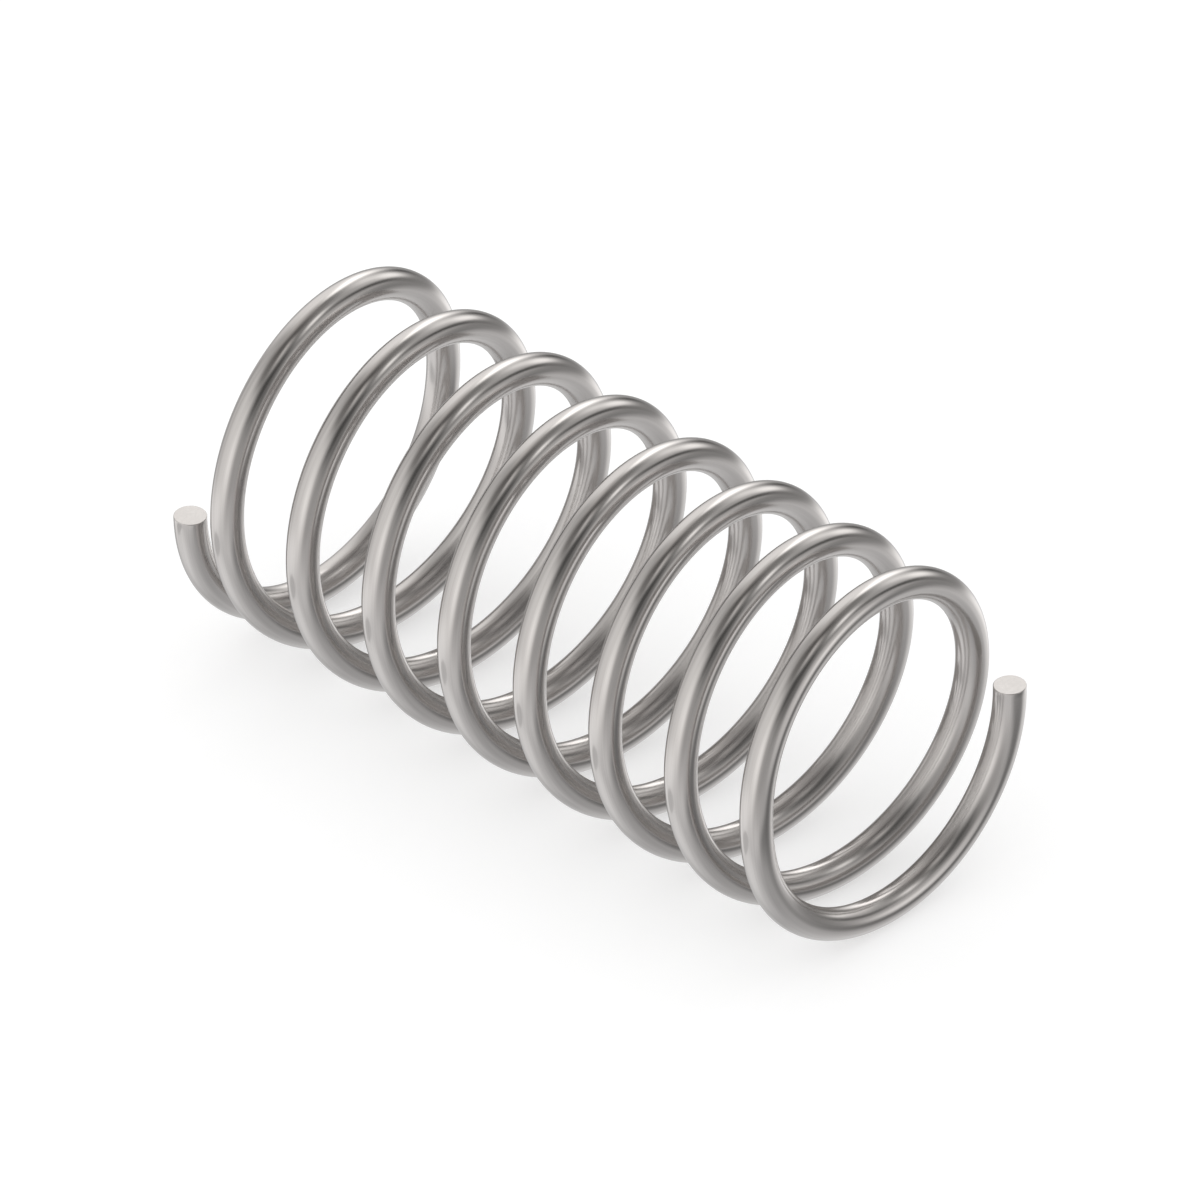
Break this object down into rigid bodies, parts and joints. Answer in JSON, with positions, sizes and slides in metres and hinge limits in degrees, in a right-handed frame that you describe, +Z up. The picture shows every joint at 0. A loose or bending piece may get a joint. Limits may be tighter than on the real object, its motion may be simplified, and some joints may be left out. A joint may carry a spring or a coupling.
{
  "type": "compression spring",
  "caption": "Small open-ended compression spring of round stainless wire, wound right-handed, that lies on its side and pushes back along its axis when squeezed.",
  "frame": {"origin": "middle of the surface that the spring lies on, straight below the middle of its axis", "axes": "+X along the spring's axis, towards the end whose wire was cut on the +Y side; +Z up"},
  "size_m": [0.032, 0.015, 0.015],
  "materials": {
    "spring_wire": "smooth drawn stainless spring wire, satin bright, with fine drawing lines along the wire"
  },
  "bodies": {
    "root": {"coil": "spring_wire"}
  },
  "joints": []
}
